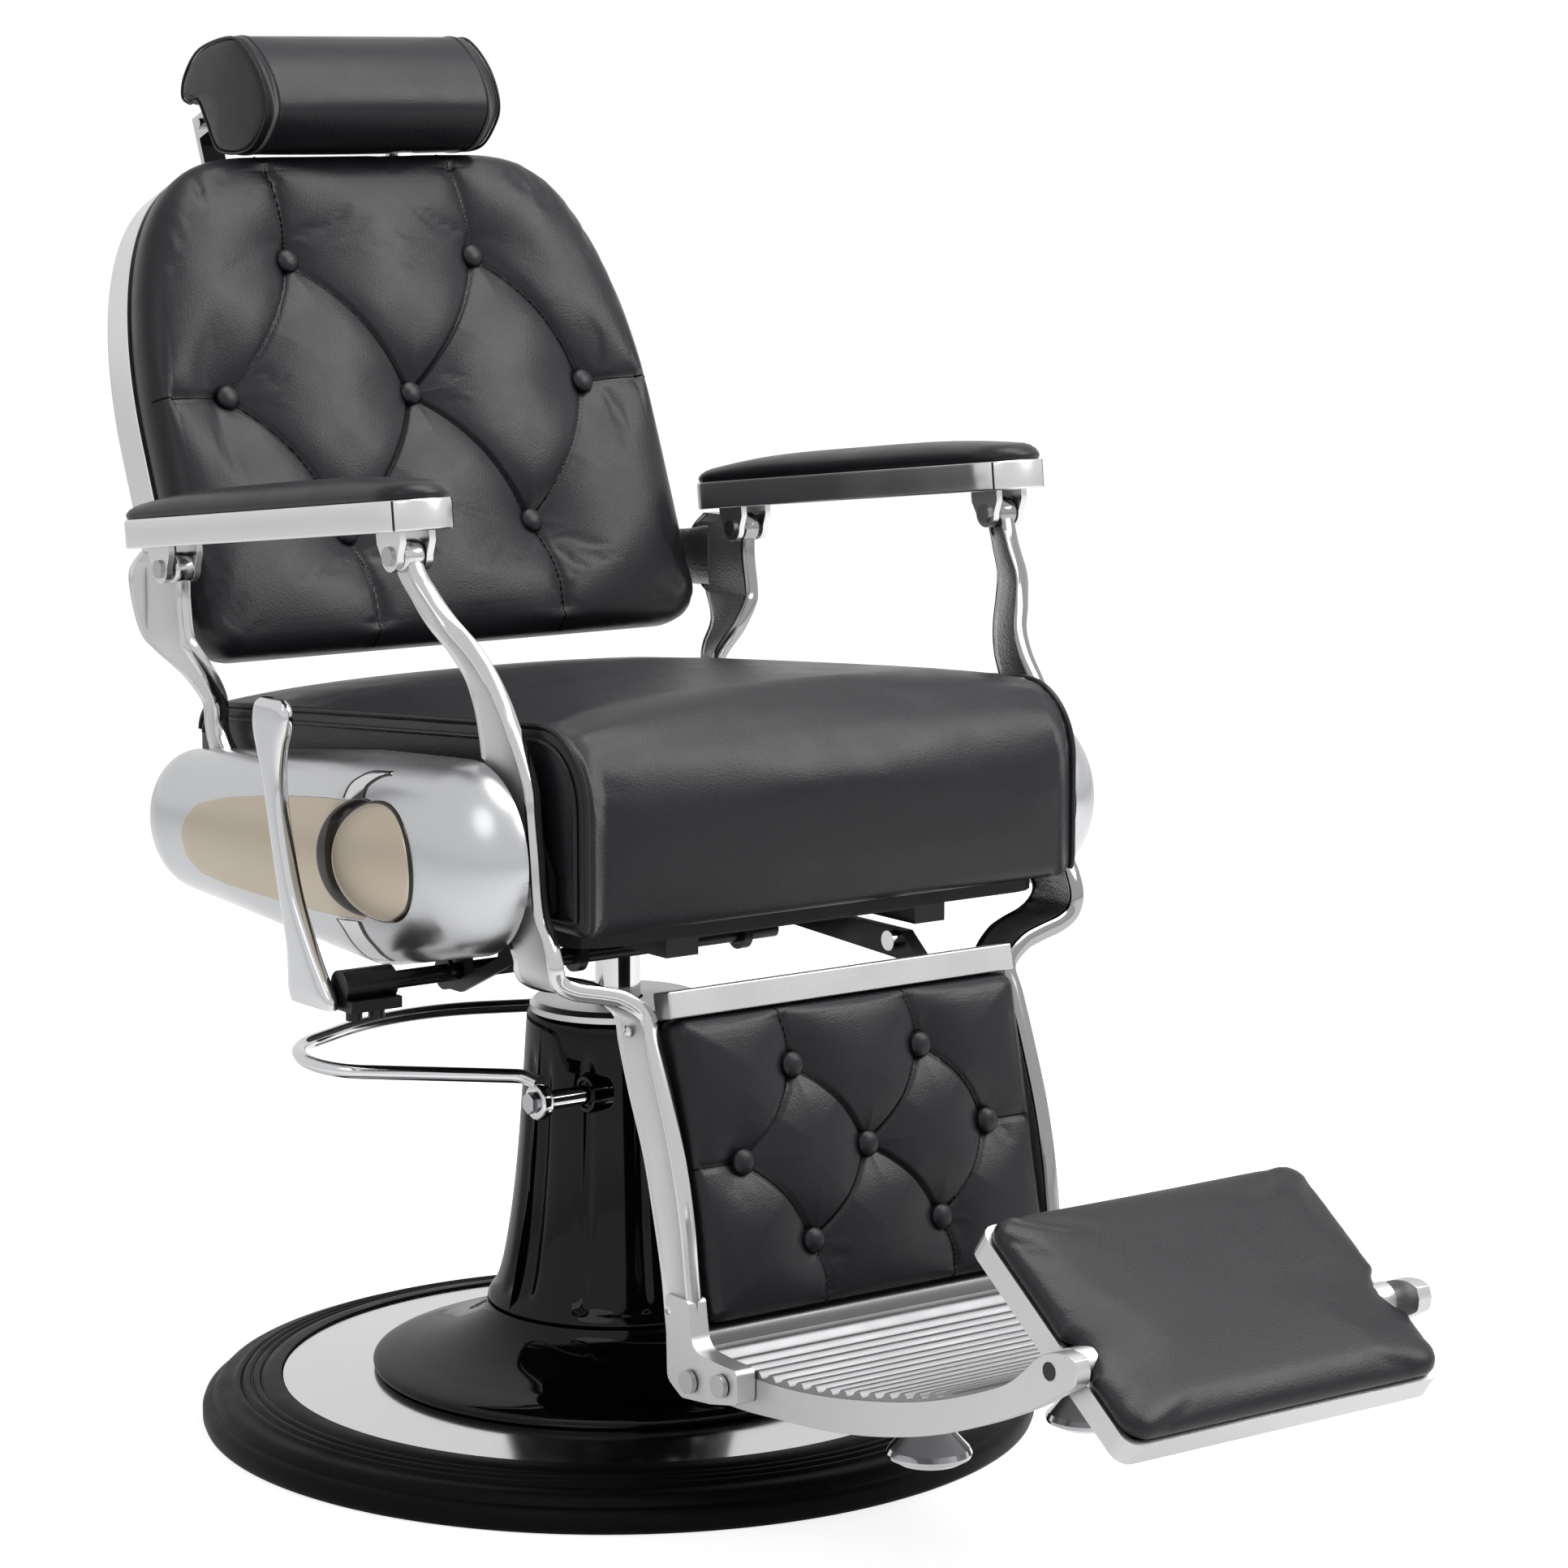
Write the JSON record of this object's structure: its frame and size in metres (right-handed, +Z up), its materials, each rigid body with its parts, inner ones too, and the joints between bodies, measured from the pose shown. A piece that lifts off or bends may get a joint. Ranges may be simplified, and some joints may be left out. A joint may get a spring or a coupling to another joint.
{
  "type": "hydraulic barber chair",
  "caption": "Barber chair on a round pedestal with a hydraulic pump, tufted reclining back, swinging leg rest, flip-over footplate and sliding headrest.",
  "frame": {"origin": "centre of the base where it stands on the floor", "axes": "+Z up, the chair faces -Y, the sitter's right hand side is -X"},
  "size_m": [0.699, 1.3414, 1.1475],
  "materials": {
    "chrome": "polished",
    "satin_alloy": "satin",
    "leather": "fine grain",
    "gloss_black": "gloss",
    "black_steel": "semi-gloss",
    "steel": "machined",
    "rubber": "matte",
    "bronze": "satin champagne bronze",
    "plywood": "plain",
    "cap_grey": "satin"
  },
  "bodies": {
    "base": {"base_ring": "rubber", "base_disc": "chrome", "skirt": "gloss_black", "shroud_front": "gloss_black", "shroud_rear": "gloss_black", "shroud_cap": "cap_grey", "pump_cylinder": "steel", "pump_bolts": "chrome"},
    "pedal": {"pedal_shaft": "chrome", "pedal_loop": "chrome", "pedal_bolts": "steel"},
    "piston": {"ram": "chrome"},
    "seat": {"swivel_hub": "black_steel", "seat_frame": "black_steel", "seat_board": "plywood", "seat_cushion": "leather", "side_plate_right": "black_steel", "side_plate_left": "black_steel", "pivot_pins": "chrome", "housing_right": "chrome", "housing_left": "chrome", "housing_insert_right": "bronze", "housing_insert_left": "bronze", "housing_studs": "chrome", "lever_brackets": "black_steel", "housing_strap": "black_steel", "stop_bar": "black_steel", "stop_bolt": "chrome"},
    "lever": {"recline_lever": "chrome", "lever_shaft": "black_steel", "lever_block": "black_steel", "lever_bolts": "black_steel"},
    "back": {"rear_frame_right": "satin_alloy", "rear_frame_left": "satin_alloy", "back_shell": "chrome", "back_board": "plywood", "back_cushion": "leather", "back_buttons": "leather", "back_bolts": "steel", "headrest_guides": "chrome"},
    "headrest": {"headrest_bars": "chrome", "headrest_pin": "chrome", "headrest_roll": "leather"},
    "arms": {"arm_rim_right": "chrome", "arm_rim_left": "chrome", "arm_pad_right": "leather", "arm_pad_left": "leather", "arm_pins": "steel"},
    "legs": {"front_frame_right": "satin_alloy", "front_frame_left": "satin_alloy", "calf_rail": "satin_alloy", "calf_board": "plywood", "calf_cushion": "leather", "calf_buttons": "leather", "footrest_step": "satin_alloy", "step_bolts": "steel", "footrest_feet": "chrome", "footplate_pins": "chrome"},
    "footplate": {"footplate_tray": "satin_alloy", "footplate_pad": "leather"}
  },
  "joints": [
    {"name": "pedal_press", "type": "hinge", "parent": "base", "child": "pedal", "pos_m": [0, -0.052, 0.286], "axis": [-1, 0, 0], "range_deg": [0, 16], "stiffness_Nm_per_rad": 20, "springref_deg": -6.88},
    {"name": "lift", "type": "slide", "parent": "base", "child": "piston", "axis": [0, 0, 1], "range_m": [0, 0.15]},
    {"name": "swivel", "type": "hinge", "parent": "piston", "child": "seat", "pos_m": [0, 0, 0.42], "axis": [0, 0, 1], "continuous": true},
    {"name": "lever_pull", "type": "hinge", "parent": "seat", "child": "lever", "pos_m": [0, -0.118, 0.418], "axis": [-1, 0, 0], "range_deg": [0, 18], "stiffness_Nm_per_rad": 4, "springref_deg": -20.05},
    {"name": "recline", "type": "hinge", "parent": "seat", "child": "back", "pos_m": [0, 0.111, 0.457], "axis": [-1, 0, 0], "range_deg": [0, 35]},
    {"name": "leg_swing", "type": "hinge", "parent": "seat", "child": "legs", "pos_m": [0, -0.248, 0.498], "axis": [-1, 0, 0], "range_deg": [0, 35]},
    {"name": "arm_level", "type": "hinge", "parent": "back", "child": "arms", "pos_m": [0, 0.215, 0.707], "axis": [-1, 0, 0], "range_deg": [-35, 0]},
    {"name": "headrest_slide", "type": "slide", "parent": "back", "child": "headrest", "axis": [0, 0.3746, 0.9272], "range_m": [0, 0.09]},
    {"name": "footplate_flip", "type": "hinge", "parent": "legs", "child": "footplate", "pos_m": [0, -0.762, 0.237], "axis": [1, 0, 0], "range_deg": [0, 180]}
  ],
  "couplings": [
    {"joint": "leg_swing", "follows": "recline", "ratio": 1},
    {"joint": "arm_level", "follows": "recline", "ratio": -1}
  ]
}
